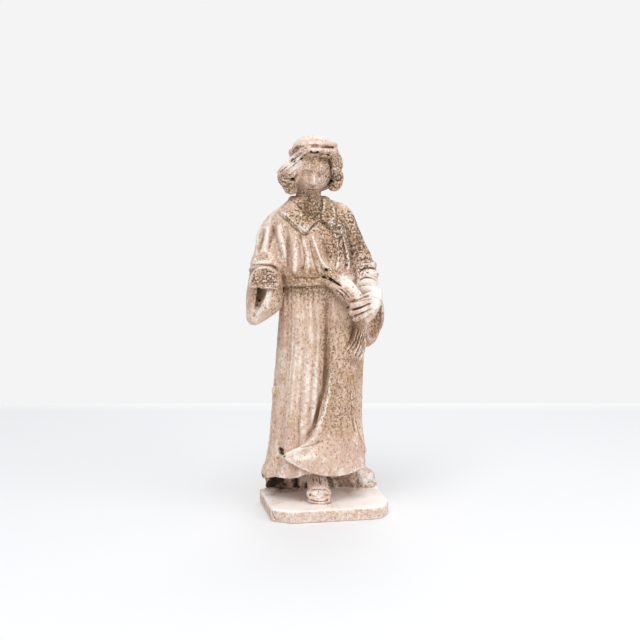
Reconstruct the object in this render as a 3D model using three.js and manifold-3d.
// A plaster statuette of a robed, long-haired figure on its own low plinth: the right forearm is
// broken off inside its wide sleeve, and the left hand holds a fish by its middle.
// Millimetres, +Z up. X runs to the viewer's right and the figure faces -Y. The origin is at the
// centre of the plinth's underside. Figure and plinth are one cast, so they are one solid.
import * as THREE from "three";
import { mergeVertices } from "three/addons/utils/BufferGeometryUtils.js";
import Module from "manifold-3d";

const wasm = await Module();
wasm.setup();

// Driving sizes
const plinth = { halfWidth: 71.5, halfDepth: 64, height: 15, edge: 2 };
const beltHeight = 273;
const chinHeight = 367;
const headHeight = 69;
const deg = Math.PI / 180;

// Small helpers for blending and for bumps
const clamp01 = (x) => Math.min(1, Math.max(0, x));
const mix = (a, b, t) => a + (b - a) * t;
const ease = (a, b, x) => {
  const t = clamp01((x - a) / (b - a));
  return t * t * (3 - 2 * t);
};
const bump = (x, width) => Math.exp(-((x / width) ** 2));
const turn = (a) => Math.atan2(Math.sin(a), Math.cos(a));

// Reads a table of rows, each led by its place, with a smooth curve through every column.
function along(rows, place) {
  const last = rows.length - 1;
  const at = THREE.MathUtils.clamp(place, rows[0][0], rows[last][0]);
  let i = 0;
  while (i < last - 1 && at > rows[i + 1][0]) i++;
  const [p, a, b, q] = [rows[Math.max(i - 1, 0)], rows[i], rows[i + 1], rows[Math.min(i + 2, last)]];
  const t = (at - a[0]) / (b[0] - a[0]);
  return a.slice(1).map((value, k) => {
    const into = ((b[k + 1] - p[k + 1]) / (b[0] - p[0])) * (b[0] - a[0]);
    const out = ((q[k + 1] - value) / (q[0] - a[0])) * (b[0] - a[0]);
    return (
      (2 * t ** 3 - 3 * t ** 2 + 1) * value +
      (t ** 3 - 2 * t ** 2 + t) * into +
      (3 * t ** 2 - 2 * t ** 3) * b[k + 1] +
      (t ** 3 - t ** 2) * out
    );
  });
}

// Turns a closed three.js geometry into a solid, after each vertex has been moved by place(x, y, z).
function solid(geometry, place) {
  const position = geometry.attributes.position;
  const moved = new THREE.Vector3();
  for (let i = 0; place && i < position.count; i++) {
    place(position.getX(i), position.getY(i), position.getZ(i), moved);
    position.setXYZ(i, moved.x, moved.y, moved.z);
  }
  geometry.deleteAttribute("normal");
  geometry.deleteAttribute("uv");
  const merged = mergeVertices(geometry, 1e-4);
  return new wasm.Manifold(
    new wasm.Mesh({
      numProp: 3,
      vertProperties: merged.attributes.position.array,
      triVerts: new Uint32Array(merged.index.array),
    }),
  );
}

// Radius of a rounded box section, from an ellipse at power 2 to a squarer one above it.
function reach(angle, halfWidth, halfDepth, power = 2.2) {
  const x = Math.abs(Math.cos(angle) / halfWidth) ** power;
  const y = Math.abs(Math.sin(angle) / halfDepth) ** power;
  return (x + y) ** (-1 / power);
}

// An upright form: rows of [height, centre x, centre y, half width, half depth]. shape(angle, height)
// is added to the radius, low(angle) is its lower edge, hollow is how far its underside rises, and
// lean lifts it at +X and lowers it at -X.
function column({ rows, around, rise, shape = () => 0, low = () => rows[0][0], hollow = 0, lean = 0 }) {
  const top = rows[rows.length - 1][0];
  return solid(new THREE.CylinderGeometry(1, 1, 1, around, rise), (x, y, z, out) => {
    const angle = Math.atan2(-z, x);
    const isMiddle = Math.hypot(x, z) < 0.5;
    const height = isMiddle && y < 0 ? low(angle) + hollow : mix(low(angle), top, y + 0.5);
    const [cx, cy, w, d] = along(rows, height);
    const r = isMiddle ? 0 : reach(angle, w, d) + shape(angle, height);
    out.set(cx + r * Math.cos(angle), cy + r * Math.sin(angle), height + lean * Math.cos(angle));
  });
}

// A limb, lock, roll or finger: points of [x, y, z, radius, second radius], with round ends.
// up sets which way the second radius lies.
function limb(points, { around = 8, steps = 8, up = [0, 0, 1], shape = () => 1, ends = 1 } = {}) {
  const path = new THREE.CatmullRomCurve3(
    points.map(([x, y, z]) => new THREE.Vector3(x, y, z)),
    false,
    "centripetal",
  );
  const rows = points.map((p, i) => [i, p[3], p[4] ?? p[3]]);
  const side = new THREE.Vector3();
  const over = new THREE.Vector3();
  const upward = new THREE.Vector3(...up);
  return solid(new THREE.SphereGeometry(1, around, steps), (x, y, z, out) => {
    const t = Math.acos(THREE.MathUtils.clamp(y, -1, 1)) / Math.PI;
    const angle = Math.atan2(z, x);
    const ringSize = Math.min(1, Math.sin(Math.PI * t) * (1 + steps * 0.28 * ends));
    const [ra, rb] = along(rows, t * (points.length - 1));
    const tangent = path.getTangent(t);
    side.crossVectors(tangent, upward).normalize();
    over.crossVectors(side, tangent);
    const k = ringSize * shape(angle, t);
    const pole = ringSize < 1e-6 ? Math.sign(t - 0.5) * 0.45 * Math.min(ra, rb) * ends : 0;
    out
      .copy(path.getPoint(t))
      .addScaledVector(tangent, pole)
      .addScaledVector(side, k * ra * Math.cos(angle))
      .addScaledVector(over, -k * rb * Math.sin(angle));
  });
}

// A cloth slab over s from 0 to 1 and t from 0 to 1: face(s, t, out) is its outer face, and its back
// lies thick millimetres towards inward(s, t).
function panel({ across, rise, face, inward, thick }) {
  const back = new THREE.Vector3();
  return solid(new THREE.BoxGeometry(1, 1, 1, across, rise, 1), (x, y, z, out) => {
    face(x + 0.5, y + 0.5, out);
    if (z < 0) out.addScaledVector(inward(x + 0.5, y + 0.5, back), thick(x + 0.5, y + 0.5));
  });
}

// An ellipsoid that shape(direction) swells or cuts, turned by tilt.
function ball({ at, size, around = 12, rise = 8, shape = () => 1, tilt = [0, 0, 0] }) {
  const turned = new THREE.Euler(...tilt.map((a) => a * deg));
  const direction = new THREE.Vector3();
  return solid(new THREE.SphereGeometry(1, around, rise), (x, y, z, out) => {
    direction.set(x, -z, y);
    const k = shape(direction);
    out.set(x * size[0] * k, -z * size[1] * k, y * size[2] * k).applyEuler(turned);
    out.add(new THREE.Vector3(...at));
  });
}

// The front point of a form made of rows, at a given x and height, lift millimetres proud of it
function onFront(rows, x, height, lift = 0, power = 2.2) {
  const [cx, cy, w, d] = along(rows, height);
  const aside = Math.min(0.98, Math.abs(x - cx) / w);
  return [x, cy - (d + lift) * (1 - aside ** power) ** (1 / power), height];
}

// Robe below the belt. Rows: height, centre x, centre y, half width, half depth.
const robeRows = [
  [14, -12, 4, 58, 38],
  [45, -12.5, 1, 60, 41],
  [61, -11, 0, 56.6, 40],
  [85, -9.7, 0, 53.8, 38],
  [108, -10.4, 0, 50.8, 36],
  [156, -8, 0, 49.6, 34],
  [206, -5, 0, 49, 32],
  [240, -6, 0, 46, 31],
  [beltHeight + 1, -8, 0, 43, 30],
];
// Folds of the robe: angle at the belt, angle at the hem, height of the ridge, half width, both in
// degrees and millimetres. A negative height is a hollow.
const robeFolds = [
  [-152, -155, 2.2, 8],
  [-139, -143, -2.6, 6],
  [-127, -131, 2.6, 7],
  [-114, -118, -2.6, 6],
  [-103, -107, 2.6, 6],
  [180, 176, 2.4, 8],
  [160, 157, -3, 8],
  [138, 135, 3.4, 9],
  [116, 114, -3.2, 8],
  [92, 90, 3.6, 9],
  [68, 65, -3.2, 8],
  [46, 43, 3.2, 9],
  [22, 20, -2.6, 8],
];
function robeShape(angle, height) {
  const down = clamp01((beltHeight - height) / beltHeight);
  const grown = (0.5 + 0.7 * down) * ease(beltHeight - 3, beltHeight - 25, height);
  let sum = 0;
  for (const [top, hem, rise, width] of robeFolds) {
    sum += rise * grown * bump(turn(angle - mix(top, hem, down) * deg), width * deg);
  }
  return sum;
}
// The hem hangs clear of the plinth in front and trails on it behind. It lifts over the front foot
// and drops at the left.
const hem = { front: 46, overFoot: 8, atLeft: 5, behind: plinth.height - 1.5, hollow: 40 };
function robeHem(angle) {
  const isBehind = ease(95, 125, Math.abs(turn(angle + 100 * deg)) / deg);
  const overFoot = hem.overFoot * bump(turn(angle + 85 * deg), 25 * deg);
  const atLeft = hem.atLeft * bump(turn(angle - Math.PI), 30 * deg);
  return mix(hem.front + overFoot - atLeft, hem.behind, isBehind);
}
function robe() {
  return column({ rows: robeRows, around: 38, rise: 7, shape: robeShape, low: robeHem, hollow: hem.hollow });
}

// The front of the robe falls over the left leg as a second layer. Its free edge hangs straight
// from the hand and then sweeps across to a raised corner. Rows: height, x of the free edge.
const sweepRows = [
  [72, -52],
  [79, -44],
  [84, -35],
  [97, -22],
  [123, -12.7],
  [160, -4],
  [206, -1],
  [beltHeight - 7, 2],
];
// Rows: how far round the layer, height of its hem
const sweepHem = [
  [0, 73],
  [0.1, 62],
  [0.2, 55],
  [0.36, 49],
  [0.55, 48],
  [0.75, 52],
  [1, 50],
];
const sweep = {
  top: beltHeight - 7,
  lift: 5.4,
  knee: 5,
  end: 16,
  cornerRise: 4,
  lowThick: 8,
  topThick: 15,
};
function sweepPoint(s, t, out) {
  const height = mix(along(sweepHem, s)[0], sweep.top, t);
  const [edgeX] = along(sweepRows, height);
  const [cx, cy, w, d] = along(robeRows, height);
  const slope = -Math.acos(THREE.MathUtils.clamp((edgeX - cx) / (w + 3), -0.94, 0.94));
  const angle = mix(Math.atan2(d * Math.sin(slope), w * Math.cos(slope)), sweep.end * deg, s);
  const knee = sweep.knee * bump(height - 170, 60) * bump(turn(angle + 62 * deg), 32 * deg);
  const corner = sweep.cornerRise * bump(s, 0.1) * ease(115, 76, height);
  const lift = sweep.lift * (1 - 0.55 * ease(0.2, 1, s));
  const r = reach(angle, w, d) + lift + knee + corner;
  return out.set(cx + r * Math.cos(angle), cy + r * Math.sin(angle), height);
}
function sweptFront() {
  const outer = new THREE.Vector3();
  return panel({
    across: 11,
    rise: 9,
    face: sweepPoint,
    inward: (s, t, out) => {
      sweepPoint(s, t, outer);
      const [cx, cy] = along(robeRows, outer.z);
      return out.set(cx - outer.x, cy - outer.y, 0).normalize();
    },
    thick: (s, t) => mix(sweep.lowThick, sweep.topThick, t),
  });
}
// A narrow turned edge that runs down the left side to a small tab
function sideFold() {
  const places = [
    [20, 185, 1.2],
    [25, 150, 2],
    [29, 118, 2.2],
    [35, 93, 2.2],
    [42, 80, 2.4],
  ];
  const points = places.map(([x, height, r]) => [...onFront(robeRows, x, height, 5), r]);
  return [
    limb([...points, [48, -9, 69, 2.6]], { around: 5, steps: 9 }),
    ball({ at: [44.5, -9, 69.5], size: [4.6, 5, 6.5], around: 6, rise: 4 }),
  ];
}

// The dark mass under the hem that carries the figure on its plinth
function core() {
  const rows = [
    [plinth.height - 2, -12, 50, 50, 13],
    [30, -12, 44, 51, 16],
    [60, -11, 20, 44, 18],
  ];
  return column({ rows, around: 16, rise: 2 });
}

// The blouse above the belt. Rows: height, centre x, centre y, half width, half depth.
const torsoRows = [
  [256, -8, 0, 42, 29],
  [269, -9, -1, 42, 30],
  [283, -12, -2, 45, 34],
  [305, -14, -2, 45, 33],
  [328, -17, -1, 46, 30],
  [346, -19, 1, 44, 26],
  [358, -19, 2, 31, 20],
  [368, -19, 2, 18, 15],
];
const torsoFolds = [
  [-153, -148, 2, 7],
  [-140, -137, -2, 6],
  [-128, -124, 2.2, 6],
  [-113, -111, -2, 6],
  [-60, -48, -2.2, 6],
  [60, 62, 2.4, 9],
  [90, 90, -2.2, 9],
  [120, 118, 2.4, 9],
];
function torsoShape(angle, height) {
  const t = clamp01((350 - height) / 80);
  const fade = ease(352, 335, height) * ease(beltHeight + 1, beltHeight + 9, height);
  let sum = 0;
  for (const [top, low, rise, width] of torsoFolds) {
    sum += rise * bump(turn(angle - mix(top, low, t) * deg), width * deg) * fade;
  }
  return sum;
}
function torso() {
  return column({ rows: torsoRows, around: 30, rise: 6, shape: torsoShape });
}

// The belt is two rounded turns of cloth round the waist, higher at the left hip.
const beltShape = { half: 4.3, proud: 3.8, groove: 0.9, edge: 1.4, lean: 3.2 };
function belt() {
  const [, , w, d] = along(torsoRows, beltHeight);
  const ring = (up, sunk) => {
    const proud = beltShape.proud - sunk;
    return [beltHeight + up * beltShape.half, -8, -0.5, w + proud, d + proud];
  };
  const { edge, groove } = beltShape;
  return column({
    rows: [ring(-1, edge), ring(-0.5, 0), ring(0, groove), ring(0.5, 0), ring(1, edge)],
    around: 24,
    rise: 4,
    lean: beltShape.lean,
  });
}

// A flap lying on the blouse between four corners of [x, height], and the point where it ends
function flap({ neck, shoulder, point, inside, lift }) {
  const place = (s, t) => {
    const x = mix(mix(point[0], inside[0], s), mix(shoulder[0], neck[0], s), t);
    const height = mix(mix(point[1], inside[1], s), mix(shoulder[1], neck[1], s), t);
    return onFront(torsoRows, x, height, lift);
  };
  return panel({
    across: 4,
    rise: 4,
    face: (s, t, out) => out.set(...place(s, t)),
    inward: (s, t, out) => out.set(0, 1, -0.2),
    thick: () => lift + 4,
  });
}
function collar() {
  const roll = [];
  for (let i = 0; i <= 7; i++) {
    const angle = (-24 + i * 32.5) * deg;
    const height = 360 + 2.5 * Math.sin(angle) + 3 * Math.cos(angle) ** 2;
    roll.push([-17.5 + 19.5 * Math.cos(angle), 3 + 17 * Math.sin(angle), height, 5.2, 6]);
  }
  return [
    flap({ neck: [-35, 367], shoulder: [-56, 354], point: [-29, 329.5], inside: [-12, 343], lift: 3.2 }),
    flap({ neck: [14, 363], shoulder: [-5, 368], point: [-9, 343], inside: [2, 334], lift: 3.2 }),
    limb(roll, { around: 6, steps: 10 }),
  ];
}
// The edges that run from the collar down the left breast, and the rounded flap between them
function chestEdges() {
  const strap = [
    [7, 353, 1.2],
    [13.5, 331, 2.2],
    [18.3, 314, 2.6],
    [22, 300, 2.6],
    [21, 279, 2],
  ];
  const placket = [
    [-22, 330, 1],
    [-18.7, 317, 1.6],
    [-10.6, 295.4, 2.3],
    [-3, 287.5, 2.5],
    [5.5, 284, 2.2],
    [9.1, 308, 1.1],
  ];
  return [strap, placket].map((edge) => {
    const points = edge.map(([x, height, r]) => [...onFront(torsoRows, x, height, 0.6), r]);
    return limb(points, { around: 5, steps: 8 });
  });
}

// Right sleeve: the upper arm hangs, the forearm is broken off across, and the wide cuff hangs
// open below it as a narrow slot.
const stump = {
  at: [-77.3, 274],
  radius: 17.2,
  over: 1.04, // height of the arch as a share of the radius
  flat: -0.42, // where its flat underside lies, as a share of the radius
  front: -42,
  back: -8,
  roll: -6,
  turned: 11,
  recess: 1.2,
  rim: 1.9,
};
// The broken forearm: a loaf, flat below, cut across its end
function loaf(radius, back, front) {
  const roll = stump.roll * deg;
  const aside = Math.tan(stump.turned * deg);
  return solid(new THREE.CylinderGeometry(1, 1, 1, 18, 1), (x, y, z, out) => {
    const depth = mix(front, back, y + 0.5);
    const across = x * radius;
    const over = Math.max(z * radius * stump.over, stump.flat * stump.radius);
    const turnedX = across * Math.cos(roll) - over * Math.sin(roll);
    const turnedZ = across * Math.sin(roll) + over * Math.cos(roll);
    out.set(stump.at[0] + turnedX + (depth - stump.front) * aside, depth, stump.at[1] + turnedZ);
  });
}
function rightSleeve() {
  const upperArm = limb(
    [
      [-38, 3, 349, 13],
      [-54, 2, 337.5, 14.6],
      [-62, 0, 322, 17],
      [-65.5, -2, 305, 17],
      [-69, -5, 291, 18],
      [-71, -7, 276, 17],
    ],
    { around: 10, steps: 7 },
  );
  const armpit = limb(
    [
      [-54, -14, 334, 6],
      [-53, -17, 315, 8],
      [-54, -17, 296, 8],
      [-56, -14, 280, 5],
    ],
    { around: 6, steps: 5 },
  );
  const ledge = limb(
    [
      [-88, -6, 285, 2.4],
      [-85.5, -20, 290, 2.4],
      [-77.5, -30, 294.5, 2.3],
      [-68, -30, 294.5, 2.4],
      [-60, -26, 291, 2.4],
      [-54, -19, 285, 1.8],
    ],
    { around: 5, steps: 7 },
  );
  const elbow = ball({ at: [-73, -14, 291], size: [15.5, 15, 11], around: 8, rise: 5, tilt: [-20, 8, 0] });
  const hanging = column({
    rows: [
      [223, -86, -16, 4.5, 7],
      [229, -82.5, -15, 11, 14],
      [236, -77.5, -15, 16.5, 18],
      [243, -74, -15, 19.5, 21],
      [256, -72.5, -14, 21, 23],
      [274, -71.5, -12, 19, 24],
      [288, -70, -9, 17, 20],
    ],
    around: 14,
    rise: 6,
  });
  const slot = limb(
    [
      [-78.5, -36, 272, 5.6, 22],
      [-79.2, -38, 260, 5.6, 22],
      [-82.6, -38, 249, 4.2, 18],
      [-86, -36, 239, 2.2, 10],
    ],
    { around: 8, steps: 7, up: [0, 1, 0] },
  );
  const forearm = loaf(stump.radius, stump.back, stump.front);
  const face = loaf(stump.radius - stump.rim, stump.front + stump.recess, stump.front - 2);
  return [upperArm, armpit, ledge, elbow, hanging.subtract(slot), forearm.subtract(face)];
}

// Left sleeve: upper arm, gathered rolls at the elbow, and a wide cuff hanging behind the hand
function leftSleeve() {
  const arm = limb(
    [
      [2, 3, 352, 14],
      [18, 3, 344.5, 16],
      [26, 2, 326, 16],
      [32, 0, 309, 16.5],
      [40, -4, 291, 17],
      [44, -12, 274, 16.5],
      [47.5, -22, 262, 12],
    ],
    { around: 10, steps: 7 },
  );
  // Rolls of cloth round the elbow: start, crown and outer end in x and height, and radius
  const rolls = [
    [[33, 284], [45, 290], [58, 289], 4.6],
    [[34, 277], [46, 281.5], [60, 278], 4.8],
    [[35, 268.5], [47, 272], [59, 268.5], 4.6],
  ].map(([start, crown, end, r], k) => {
    const forward = -20 - 2.2 * k;
    const points = [
      [start[0], forward + 6, start[1], 0.5 * r],
      [crown[0], forward - 1.5, crown[1], r],
      [end[0] - 1.5, forward + 12, end[1], 0.9 * r],
      [end[0] - 5, forward + 24, end[1] - 1, 0.6 * r],
    ];
    return limb(points, { around: 6, steps: 6 });
  });
  const edge = limb(
    [
      [37, -28, 251.5, 2],
      [47, -34, 257.4, 2.6],
      [58.5, -29, 253.6, 2.5],
      [64, -18, 243, 2],
    ],
    { around: 5, steps: 6 },
  );
  const hanging = column({
    rows: [
      [193, 48, -9, 3, 4.5],
      [199, 50.5, -9, 8, 10],
      [208, 52, -9, 11, 14],
      [219, 53, -9, 14.2, 16],
      [231, 53.5, -8, 15.4, 18],
      [246, 52, -8, 15.2, 18],
      [257, 49, -8, 13.2, 16],
      [267, 47, -8, 10, 12],
    ],
    around: 12,
    rise: 6,
  });
  const hollow = limb(
    [
      [54, -31, 252, 7, 9],
      [56.3, -28, 240, 9.6, 15],
      [55.6, -27, 226, 9.8, 15],
      [53, -27, 213, 8, 12],
      [50.5, -27, 205, 4.5, 8],
    ],
    { around: 8, steps: 6, up: [0, 1, 0] },
  );
  return [arm, ...rolls, edge, hanging.subtract(hollow)];
}

// The fish runs from its open mouth at the belt, under the fingers, down to a spread tail.
const tail = {
  // edges from its root to its tips: share of the way down, x, height
  left: [
    [0, 31, 222],
    [0.35, 28, 211],
    [0.65, 25.6, 203.5],
    [0.82, 22.4, 197.6],
    [1, 16.6, 192],
  ],
  right: [
    [0, 41, 220],
    [0.3, 40.6, 208],
    [0.6, 40.6, 197],
    [1, 37.6, 181],
  ],
  at: -38.5,
  bow: 2.4,
  ray: 0.9,
  rays: 4,
  thick: 9,
};
function tailPoint(s, t, out) {
  const down = 1 - t;
  const [leftX, leftZ] = along(tail.left, down);
  const [rightX, rightZ] = along(tail.right, down);
  const bowed = tail.bow * Math.sin(Math.PI * s) * down;
  const ray = tail.ray * Math.cos(2 * Math.PI * tail.rays * s) * down;
  return out.set(mix(leftX, rightX, s), tail.at - ray + 1.5 * down, mix(leftZ, rightZ, s) - bowed);
}
function fish() {
  const body = limb(
    [
      [8, -37.5, 269, 9.5, 7.5],
      [13, -39, 265.8, 12.6, 9.2],
      [21.8, -41, 258.6, 10.8, 9.5],
      [30.5, -42, 249.7, 8.8, 9],
      [35, -42, 238, 7.6, 8],
      [36, -40, 223, 5, 5.5],
      [36, -38, 210, 4.4, 4],
    ],
    { around: 9, steps: 10, up: [0, 1, 0] },
  );
  const upper = [
    [12, -40, 273, 6],
    [3, -40, 279, 5, 5.4],
    [-4, -38.5, 281.6, 3.6, 4],
    [-8.5, -37, 281.8, 1.8, 2.4],
  ];
  const lower = [
    [12, -39, 262, 7, 6.5],
    [3, -38.5, 267.6, 5, 6],
    [-4, -38, 272.2, 3.8, 4.6],
    [-9.5, -37, 275.2, 2, 2.6],
  ];
  const jaws = [upper, lower].map((points) => limb(points, { around: 6, steps: 6, up: [0, 1, 0] }));
  const spread = panel({
    across: 8,
    rise: 2,
    face: tailPoint,
    inward: (s, t, out) => out.set(0, 1, 0),
    thick: () => tail.thick,
  });
  return [body, ...jaws, spread];
}

// The left hand: back of the hand outward, four fingers over the fish
function leftHand() {
  const palm = limb(
    [
      [57, -24, 259, 7, 6.5],
      [53.5, -36, 255, 7.6, 7],
      [49, -43.5, 248, 8, 7.6],
      [45.8, -45.5, 239, 6.6, 7],
      [43.5, -44.5, 230, 4.2, 5],
    ],
    { around: 9, steps: 7, up: [0, -1, 0] },
  );
  const fingers = [
    { knuckle: [46, -49.5, 252.6], bend: [33, -54, 249.6], tip: [20.6, -49.5, 245.8], radius: 4.5 },
    { knuckle: [44.5, -51, 246.4], bend: [31.5, -54.8, 241.4], tip: [19.6, -49.5, 237.6], radius: 4.3 },
    { knuckle: [44.5, -50.5, 240.4], bend: [34, -53.8, 234.2], tip: [24, -48.5, 230.6], radius: 4 },
    { knuckle: [46, -48, 234.2], bend: [38.5, -51.2, 228.6], tip: [33, -47, 225.8], radius: 3.4 },
  ].map(({ knuckle, bend, tip, radius }) => {
    const points = [
      [...knuckle, radius],
      [...bend, radius * 1.04],
      [...tip, radius * 0.84],
    ];
    return limb(points, { around: 6, steps: 5 });
  });
  return [palm, ...fingers];
}

// Head and neck. The face is a plain classical one, on thirds from hairline to chin.
const head = { at: [-15.3, -3, chinHeight + 0.44 * headHeight], size: [20.6, 24.6, 31], turns: [4, 5, -4] };
function faceShape({ x, y, z }) {
  const ahead = ease(0.1, 0.7, -y);
  const jaw = 1 - 0.16 * ease(-0.1, -0.95, z) * Math.abs(x);
  const brow = 0.02 * bump(z - 0.16, 0.1) * ahead;
  const socket = -0.05 * bump(z - 0.02, 0.1) * bump(Math.abs(x) - 0.36, 0.16) * ahead;
  const nose = 0.14 * bump(x, 0.13) * bump(z + 0.26, 0.15) * ahead;
  const mouth = 0.04 * bump(x, 0.26) * bump(z + 0.56, 0.08) * ahead;
  const chin = 0.05 * bump(x, 0.24) * bump(z + 0.84, 0.12) * ahead;
  return jaw + brow + socket + nose + mouth + chin;
}
// The cap is a soft box, flattened over the face.
function capShape({ x, y, z }) {
  const power = 2.4;
  const boxy = (Math.abs(x) ** power + Math.abs(y) ** power + Math.abs(z) ** power) ** (-1 / power);
  return boxy * (1 - 0.5 * ease(0.25, -0.2, z) * ease(0.1, 0.7, -y));
}
function fallShape({ x, y, z }) {
  const locks = Math.cos(11 * Math.atan2(y, x));
  return 1 + 0.05 * locks * ease(0.95, 0.4, Math.abs(z)) * ease(-0.3, 0, y);
}
function headForms() {
  const skull = ball({
    at: head.at,
    size: head.size,
    around: 18,
    rise: 13,
    shape: faceShape,
    tilt: head.turns,
  });
  const neck = column({
    rows: [
      [348, -20, 4, 16, 13],
      [366, -19, 3, 14.5, 12.5],
      [388, -16, 3, 14, 13],
    ],
    around: 12,
    rise: 3,
  });
  const cap = ball({
    at: [-12, 2, 409],
    size: [28.2, 29, 29.3],
    around: 16,
    rise: 8,
    tilt: [-8, 5, -4],
    shape: capShape,
  });
  const fall = ball({
    at: [-18, 8, 391.5],
    size: [35, 20, 19.5],
    around: 18,
    rise: 6,
    tilt: [0, 0, -4],
    shape: fallShape,
  });
  return [skull, neck, cap, fall];
}
// Locks that spring from the parting and flare out at the jaw, a row of points for each lock
const locks = [
  [
    [-14, -28, 419, 2.2],
    [-25, -25, 417, 3],
    [-36, -18, 408, 4.6],
    [-46, -12, 399, 6],
    [-50.5, -8, 390, 5],
  ],
  [
    [-33, -18, 402, 3],
    [-38, -14, 393, 6],
    [-43, -10, 386, 7.6],
    [-43, -8, 380, 7.4],
    [-36, -8, 375.5, 5.2],
  ],
  [
    [-36, 0, 408, 7],
    [-43, 2, 394, 9],
    [-41, 4, 384, 8],
    [-34, 6, 379, 5],
  ],
  [
    [-6, -28, 421, 2.2],
    [3, -25, 420, 3.4],
    [10, -18, 414, 5],
    [14, -11, 405, 5],
    [13, -8, 397, 4],
  ],
  [
    [8, -17, 403, 3],
    [11.5, -12, 397, 5.5],
    [14.5, -9, 390, 6],
    [12, -8, 382, 6],
    [5, -7, 378, 4],
  ],
];
function hair() {
  return locks.map((points) => limb(points, { around: 6, steps: 6 }));
}
// The twisted strands over the temple, and the rolled brim of the cap above them
function brim() {
  const strands = [
    [-18, -30.5, 423, 1.6],
    [-32, -25.5, 418, 2.6],
    [-47, -14.5, 402, 2.8],
    [-56, -9, 394.5, 1.6],
  ];
  const roll = [
    [-29, -24, 423, 1.6],
    [-14, -29, 421.6, 3],
    [3, -24, 419.8, 3.2],
    [13, -10, 418, 2.2],
  ];
  return [limb(strands, { around: 5, steps: 7 }), limb(roll, { around: 5, steps: 8 })];
}
// The twisted band behind the cap
function hairBand() {
  const points = [];
  for (let i = 0; i <= 8; i++) {
    const angle = (-8 + i * 24.5) * deg;
    const height = 420 - 3 * Math.sin(angle);
    points.push([-12.5 + 26.6 * Math.cos(angle), 2 + 27.6 * Math.sin(angle), height, 2.2, 3]);
  }
  return limb(points, { around: 5, steps: 8 });
}

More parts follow.
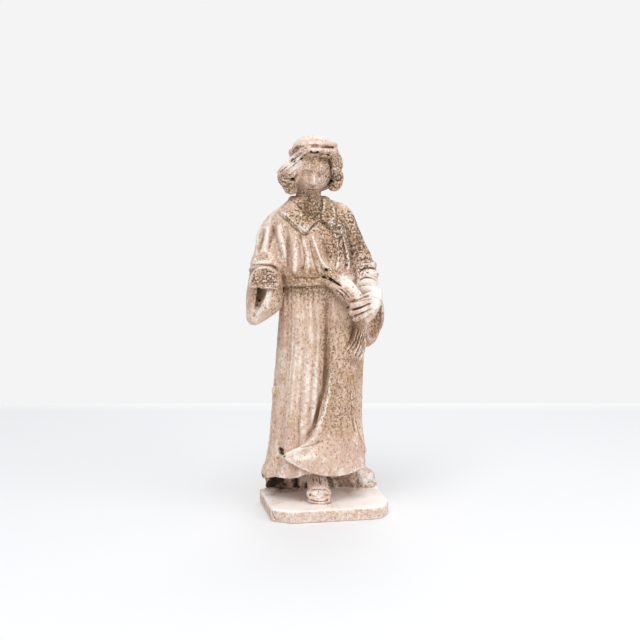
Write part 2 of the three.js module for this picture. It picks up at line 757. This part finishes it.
// Feet: the right one, sandalled, points at the viewer, and the left one stands behind, turned out.
// Each has a heel, a toe, half its width, its ankle, how low its instep lies and how far it is
// lifted; a toe has how far it lies aside, its radius and its half height.
const feet = {
  right: {
    heel: [-11, 6],
    toe: [-13, -44.5],
    half: 14.2,
    ankle: 40,
    low: 1,
    lift: 0,
    toes: [
      [-0.44, 4.9, 3.5],
      [0.2, 2.6, 3.5],
      [0.66, 3.5, 3.3],
    ],
  },
  left: {
    heel: [52, 54],
    toe: [61, 18.5],
    half: 14,
    ankle: 14,
    low: 0.84,
    lift: -3.6,
    toes: [
      [-0.42, 5.2, 4.6],
      [0.26, 3, 3.8],
      [0.66, 2.8, 3.2],
    ],
  },
};
const sole = { thick: 3.8, edge: 1, strapWide: 2.2 };
function foot({ heel, toe, half, ankle, low, lift, toes }) {
  const [dx, dy] = [toe[0] - heel[0], toe[1] - heel[1]];
  const length = Math.hypot(dx, dy);
  const onFoot = (ahead, side, up) => {
    const x = heel[0] + (dx * ahead - dy * side) / length;
    const y = heel[1] + (dy * ahead + dx * side) / length;
    return [x, y, plinth.height + lift + up];
  };
  // place along the foot and share of its width
  const tread = [
    [4, 0.6],
    [0.5 * length, 0.84],
    [length - 16, 1],
    [length - 8, 0.98],
    [length - 4, 0.86],
    [length - 1, 0.5],
  ].map(([ahead, share]) => [...onFoot(ahead, 0, sole.thick), half * share - sole.edge, sole.thick]);
  // place along the foot, height, half width and half depth
  const instep = [
    [4, ankle, 0.77 * half, 11],
    [0.45 * length, 21 * low, 0.8 * half, 12],
    [0.62 * length, 14 * low, 0.9 * half, 10.6],
    [length - 15.5, 9.4, 0.97 * half, 7.4],
  ].map(([ahead, up, wide, deep]) => [...onFoot(ahead, 0, up), wide, deep]);
  const toeForms = toes.map(([side, wide, tall]) => {
    const tip = length - 7.5 - 5 * Math.abs(side + 0.1) ** 1.5;
    const root = onFoot(length - 19, 0.8 * side * half, 12.4);
    const end = onFoot(tip, side * half, 12.4);
    const points = [
      [...root, wide, tall],
      [...end, wide, tall],
    ];
    return limb(points, { around: 6, steps: 4 });
  });
  const forms = [limb(tread, { around: 8, steps: 6 }), limb(instep, { around: 8, steps: 6 }), ...toeForms];
  if (lift < 0) return forms;
  const strap = [];
  for (let i = 0; i <= 6; i++) {
    const angle = (Math.PI * i) / 6;
    const up = 7.5 + 8.6 * Math.sin(angle) ** 0.55;
    const place = onFoot(length - 14.5 + 2.5 * Math.sin(angle), Math.cos(angle) * (half - 0.9), up);
    strap.push([...place, 1.3, sole.strapWide]);
  }
  return [...forms, limb(strap, { around: 4, steps: 7 })];
}

// The plinth: a slab with cut corners, the two at the front of unequal length
function plinthSlab() {
  const { halfWidth, halfDepth, edge } = plinth;
  const corners = [
    [-halfWidth + 22, -halfDepth],
    [halfWidth - 27, -halfDepth],
    [halfWidth - 15.5, -halfDepth + 4.5],
    [halfWidth - 8, -halfDepth + 14],
    [halfWidth - 2, -halfDepth + 30],
    [halfWidth, halfDepth - 20],
    [halfWidth - 20, halfDepth],
    [-halfWidth + 20, halfDepth],
    [-halfWidth, halfDepth - 20],
    [-halfWidth, -halfDepth + 15],
  ];
  const outline = new THREE.Shape(corners.map(([x, y]) => new THREE.Vector2(x, y)));
  const slab = new THREE.ExtrudeGeometry(outline, {
    depth: plinth.height - edge,
    bevelThickness: edge,
    bevelSize: edge,
    bevelOffset: -edge,
    bevelSegments: 2,
  });
  return solid(slab, (x, y, z, out) => out.set(x, y, Math.max(0, z)));
}

function figure() {
  const forms = [
    plinthSlab(),
    core(),
    robe(),
    sweptFront(),
    ...sideFold(),
    torso(),
    belt(),
    ...collar(),
    ...chestEdges(),
    ...rightSleeve(),
    ...leftSleeve(),
    ...fish(),
    ...leftHand(),
    ...headForms(),
    ...hair(),
    ...brim(),
    hairBand(),
    ...foot(feet.right),
    ...foot(feet.left),
  ];
  return forms.reduce((whole, form) => whole.add(form));
}

const plaster = new THREE.MeshStandardMaterial({ color: 0xd9bfa9, roughness: 0.92, metalness: 0 });
const made = figure().getMesh();
const geometry = new THREE.BufferGeometry();
geometry.setAttribute("position", new THREE.BufferAttribute(made.vertProperties, 3));
geometry.setIndex(new THREE.BufferAttribute(made.triVerts, 1));
geometry.computeVertexNormals();
const statuette = new THREE.Mesh(geometry, plaster);
statuette.name = "plaster_figure";

const part = new THREE.Group();
part.add(statuette);
export default part;
